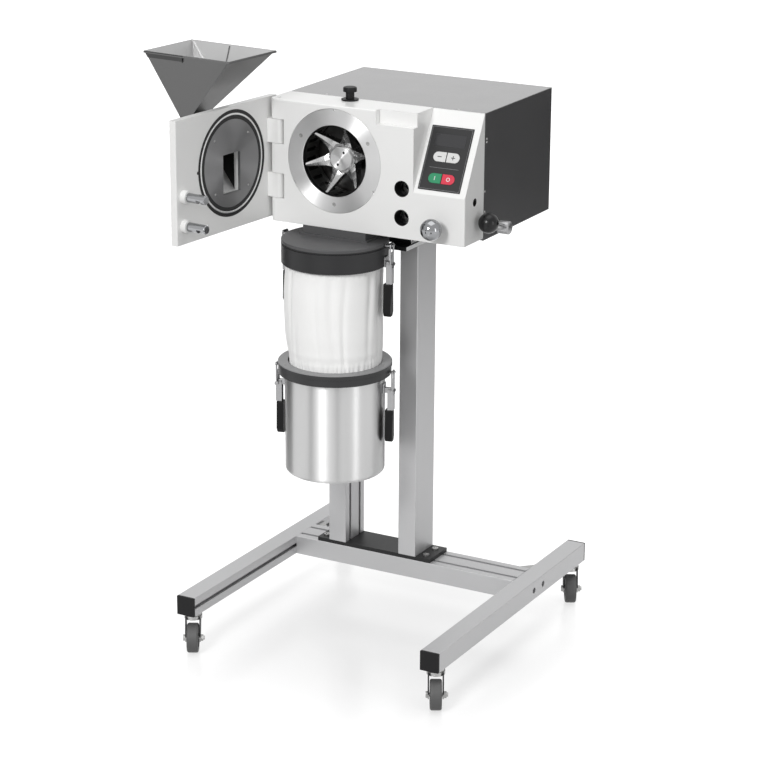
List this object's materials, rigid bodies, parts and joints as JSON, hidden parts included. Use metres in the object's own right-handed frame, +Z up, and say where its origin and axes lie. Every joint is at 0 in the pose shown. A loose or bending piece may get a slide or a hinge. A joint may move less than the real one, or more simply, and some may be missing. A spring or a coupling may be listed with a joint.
{
  "type": "analytical lab mill",
  "caption": "Rotor mill for laboratory samples on a castored stand, with a hinged feed door and hopper, a control panel, and a filter sleeve and pot below.",
  "frame": {"origin": "on the floor, under the middle of the stand's crossbar", "axes": "+X to the operator's right along the crossbar, +Y from the feed door to the back, +Z up"},
  "size_m": [0.707, 0.6948, 1.194],
  "materials": {
    "aluminium_profile": "satin anodised extrusion",
    "zinc_steel": "zinc plated steel",
    "black_steel": "black powder coat",
    "tyre_rubber": "grey rubber",
    "black_plastic": "fine moulded texture",
    "white_enamel": "smooth white stoving enamel",
    "grey_enamel": "fine satin powder coat",
    "chamber_steel": "turned stainless steel",
    "sheet_steel": "satin stainless sheet",
    "pot_steel": "circular brushed stainless steel",
    "dark_disc": "dark grey coated steel",
    "seal_rubber": "black silicone",
    "bright_chrome": "polished chrome plate",
    "gloss_black": "polished moulding",
    "filter_cloth": "woven polyester filter cloth",
    "membrane": "printed membrane film",
    "green_key": "embossed film",
    "red_key": "embossed film",
    "white_key": "embossed film",
    "board": "solder mask",
    "motor_paint": "grey machine paint",
    "belt_rubber": "ribbed drive belt"
  },
  "bodies": {
    "frame": {"base_plate": "black_steel", "belt": "belt_rubber", "black_bushes": "black_plastic", "chamber_ring": "chamber_steel", "chassis": "grey_enamel", "collecting_pot": "pot_steel", "control_board": "board", "cover": "grey_enamel", "crossbar": "aluminium_profile", "filter_sleeve": "filter_cloth", "foot_beams": "aluminium_profile", "foot_end_caps": "black_plastic", "front_casting": "white_enamel", "head_console": "black_steel", "latch_mounts": "zinc_steel", "main_bearings": "zinc_steel", "membrane_panel": "membrane", "mill_hardware": "zinc_steel", "motor": "motor_paint", "outlet_flange": "black_plastic", "posts": "aluminium_profile", "power_inlet": "black_plastic", "ring_sieve": "chamber_steel", "sleeve_bottom_ring": "black_plastic", "sleeve_top_ring": "black_plastic", "stand_fittings": "zinc_steel"},
    "fork_front_left": {"caster_fork_front_left": "zinc_steel"},
    "wheel_front_left": {"caster_wheel_front_left": "tyre_rubber"},
    "fork_back_left": {"caster_fork_back_left": "zinc_steel"},
    "wheel_back_left": {"caster_wheel_back_left": "tyre_rubber"},
    "fork_front_right": {"caster_fork_front_right": "zinc_steel"},
    "wheel_front_right": {"caster_wheel_front_right": "tyre_rubber"},
    "fork_back_right": {"caster_fork_back_right": "zinc_steel"},
    "wheel_back_right": {"caster_wheel_back_right": "tyre_rubber"},
    "door": {"door": "white_enamel", "door_disc": "dark_disc", "door_seals": "seal_rubber", "lock_bolts": "bright_chrome", "feed_chute": "white_enamel", "hopper": "sheet_steel"},
    "rotor": {"rotor": "chamber_steel", "rotor_cap": "chamber_steel", "main_shaft": "zinc_steel"},
    "motor_rotor": {"motor_pulley": "zinc_steel"},
    "plunger": {"plunger_knob": "black_plastic"},
    "release": {"release_knob": "bright_chrome"},
    "lever": {"lock_lever": "gloss_black"},
    "slide": {"lock_slide": "zinc_steel"},
    "key_start": {"key_start": "green_key"},
    "key_stop": {"key_stop": "red_key"},
    "key_minus": {"key_minus": "white_key"},
    "key_plus": {"key_plus": "white_key"},
    "latch_upper_right": {"latch_lever_upper_right": "gloss_black"},
    "bail_upper_right": {"latch_bail_upper_right": "bright_chrome"},
    "latch_upper_left": {"latch_lever_upper_left": "gloss_black"},
    "bail_upper_left": {"latch_bail_upper_left": "bright_chrome"},
    "latch_lower_right": {"latch_lever_lower_right": "gloss_black"},
    "bail_lower_right": {"latch_bail_lower_right": "bright_chrome"},
    "latch_lower_left": {"latch_lever_lower_left": "gloss_black"},
    "bail_lower_left": {"latch_bail_lower_left": "bright_chrome"}
  },
  "joints": [
    {"name": "swivel_front_left", "type": "hinge", "parent": "frame", "child": "fork_front_left", "pos_m": [-0.275, -0.412, 0.07], "axis": [0, 0, 1], "continuous": true},
    {"name": "roll_front_left", "type": "hinge", "parent": "fork_front_left", "child": "wheel_front_left", "pos_m": [-0.26636, -0.42779, 0.03], "axis": [0.8771, 0.4802, 0], "continuous": true},
    {"name": "swivel_back_left", "type": "hinge", "parent": "frame", "child": "fork_back_left", "pos_m": [-0.275, 0.198, 0.07], "axis": [0, 0, 1], "continuous": true},
    {"name": "roll_back_left", "type": "hinge", "parent": "fork_back_left", "child": "wheel_back_left", "pos_m": [-0.26636, 0.18221, 0.03], "axis": [0.8771, 0.4802, 0], "continuous": true},
    {"name": "swivel_front_right", "type": "hinge", "parent": "frame", "child": "fork_front_right", "pos_m": [0.275, -0.412, 0.07], "axis": [0, 0, 1], "continuous": true},
    {"name": "roll_front_right", "type": "hinge", "parent": "fork_front_right", "child": "wheel_front_right", "pos_m": [0.28364, -0.42779, 0.03], "axis": [0.8771, 0.4802, 0], "continuous": true},
    {"name": "swivel_back_right", "type": "hinge", "parent": "frame", "child": "fork_back_right", "pos_m": [0.275, 0.198, 0.07], "axis": [0, 0, 1], "continuous": true},
    {"name": "roll_back_right", "type": "hinge", "parent": "fork_back_right", "child": "wheel_back_right", "pos_m": [0.28364, 0.18221, 0.03], "axis": [0.8771, 0.4802, 0], "continuous": true},
    {"name": "door_swing", "type": "hinge", "parent": "frame", "child": "door", "pos_m": [-0.212, -0.168, 0.97], "axis": [0, 0, 1], "range_deg": [-4, 95.4]},
    {"name": "rotor_spin", "type": "hinge", "parent": "frame", "child": "rotor", "pos_m": [-0.0795, -0.138, 0.98], "axis": [0, 1, 0], "continuous": true},
    {"name": "motor_spin", "type": "hinge", "parent": "frame", "child": "motor_rotor", "pos_m": [0.11, 0.024, 0.925], "axis": [0, 1, 0], "continuous": true},
    {"name": "plunger_lift", "type": "slide", "parent": "frame", "child": "plunger", "axis": [0, 0, 1], "range_m": [0, 0.008], "stiffness_N_per_m": 300, "springref_m": -0.004},
    {"name": "release_pull", "type": "slide", "parent": "frame", "child": "release", "axis": [0, -1, 0], "range_m": [0, 0.006], "stiffness_N_per_m": 500, "springref_m": -0.004},
    {"name": "lock_turn", "type": "hinge", "parent": "frame", "child": "lever", "pos_m": [0.15, -0.045, 0.856], "axis": [-1, 0, 0], "range_deg": [0, 90]},
    {"name": "lock_lift", "type": "slide", "parent": "frame", "child": "slide", "axis": [0, 0, 1], "range_m": [0, 0.0061]},
    {"name": "press_start", "type": "slide", "parent": "frame", "child": "key_start", "axis": [0, 0.8843, -0.4669], "range_m": [0, 0.0008], "stiffness_N_per_m": 900, "springref_m": -0.0006},
    {"name": "press_stop", "type": "slide", "parent": "frame", "child": "key_stop", "axis": [0, 0.8843, -0.4669], "range_m": [0, 0.0008], "stiffness_N_per_m": 900, "springref_m": -0.0006},
    {"name": "press_minus", "type": "slide", "parent": "frame", "child": "key_minus", "axis": [0, 0.8843, -0.4669], "range_m": [0, 0.0008], "stiffness_N_per_m": 900, "springref_m": -0.0006},
    {"name": "press_plus", "type": "slide", "parent": "frame", "child": "key_plus", "axis": [0, 0.8843, -0.4669], "range_m": [0, 0.0008], "stiffness_N_per_m": 900, "springref_m": -0.0006},
    {"name": "latch_upper_right", "type": "hinge", "parent": "frame", "child": "latch_upper_right", "pos_m": [0.03141, -0.16434, 0.785], "axis": [0.1392, -0.9903, 0], "range_deg": [0, 95]},
    {"name": "bail_upper_right", "type": "hinge", "parent": "latch_upper_right", "child": "bail_upper_right", "pos_m": [0.03784, -0.16344, 0.783], "axis": [0.1392, -0.9903, 0], "range_deg": [-110, 0]},
    {"name": "latch_upper_left", "type": "hinge", "parent": "frame", "child": "latch_upper_left", "pos_m": [-0.19223, -0.17215, 0.785], "axis": [0.0698, 0.9976, 0], "range_deg": [0, 95]},
    {"name": "bail_upper_left", "type": "hinge", "parent": "latch_upper_left", "child": "bail_upper_left", "pos_m": [-0.19871, -0.1717, 0.783], "axis": [0.0698, 0.9976, 0], "range_deg": [-110, 0]},
    {"name": "latch_lower_right", "type": "hinge", "parent": "frame", "child": "latch_lower_right", "pos_m": [0.02882, -0.15145, 0.522], "axis": [0.2538, -0.9673, 0], "range_deg": [0, 95]},
    {"name": "bail_lower_right", "type": "hinge", "parent": "latch_lower_right", "child": "bail_lower_right", "pos_m": [0.0351, -0.1498, 0.52], "axis": [0.2538, -0.9673, 0], "range_deg": [-110, 0]},
    {"name": "latch_lower_left", "type": "hinge", "parent": "frame", "child": "latch_lower_left", "pos_m": [-0.18882, -0.20855, 0.522], "axis": [-0.2538, 0.9673, 0], "range_deg": [0, 95]},
    {"name": "bail_lower_left", "type": "hinge", "parent": "latch_lower_left", "child": "bail_lower_left", "pos_m": [-0.19511, -0.2102, 0.52], "axis": [-0.2538, 0.9673, 0], "range_deg": [-110, 0]}
  ],
  "couplings": [
    {"joint": "motor_spin", "follows": "rotor_spin", "ratio": 0.58333},
    {"joint": "lock_lift", "follows": "lock_turn", "m_per_rad": 0.00382},
    {"joint": "bail_upper_right", "follows": "latch_upper_right", "ratio": -1.15},
    {"joint": "bail_upper_left", "follows": "latch_upper_left", "ratio": -1.15},
    {"joint": "bail_lower_right", "follows": "latch_lower_right", "ratio": -1.15},
    {"joint": "bail_lower_left", "follows": "latch_lower_left", "ratio": -1.15}
  ]
}
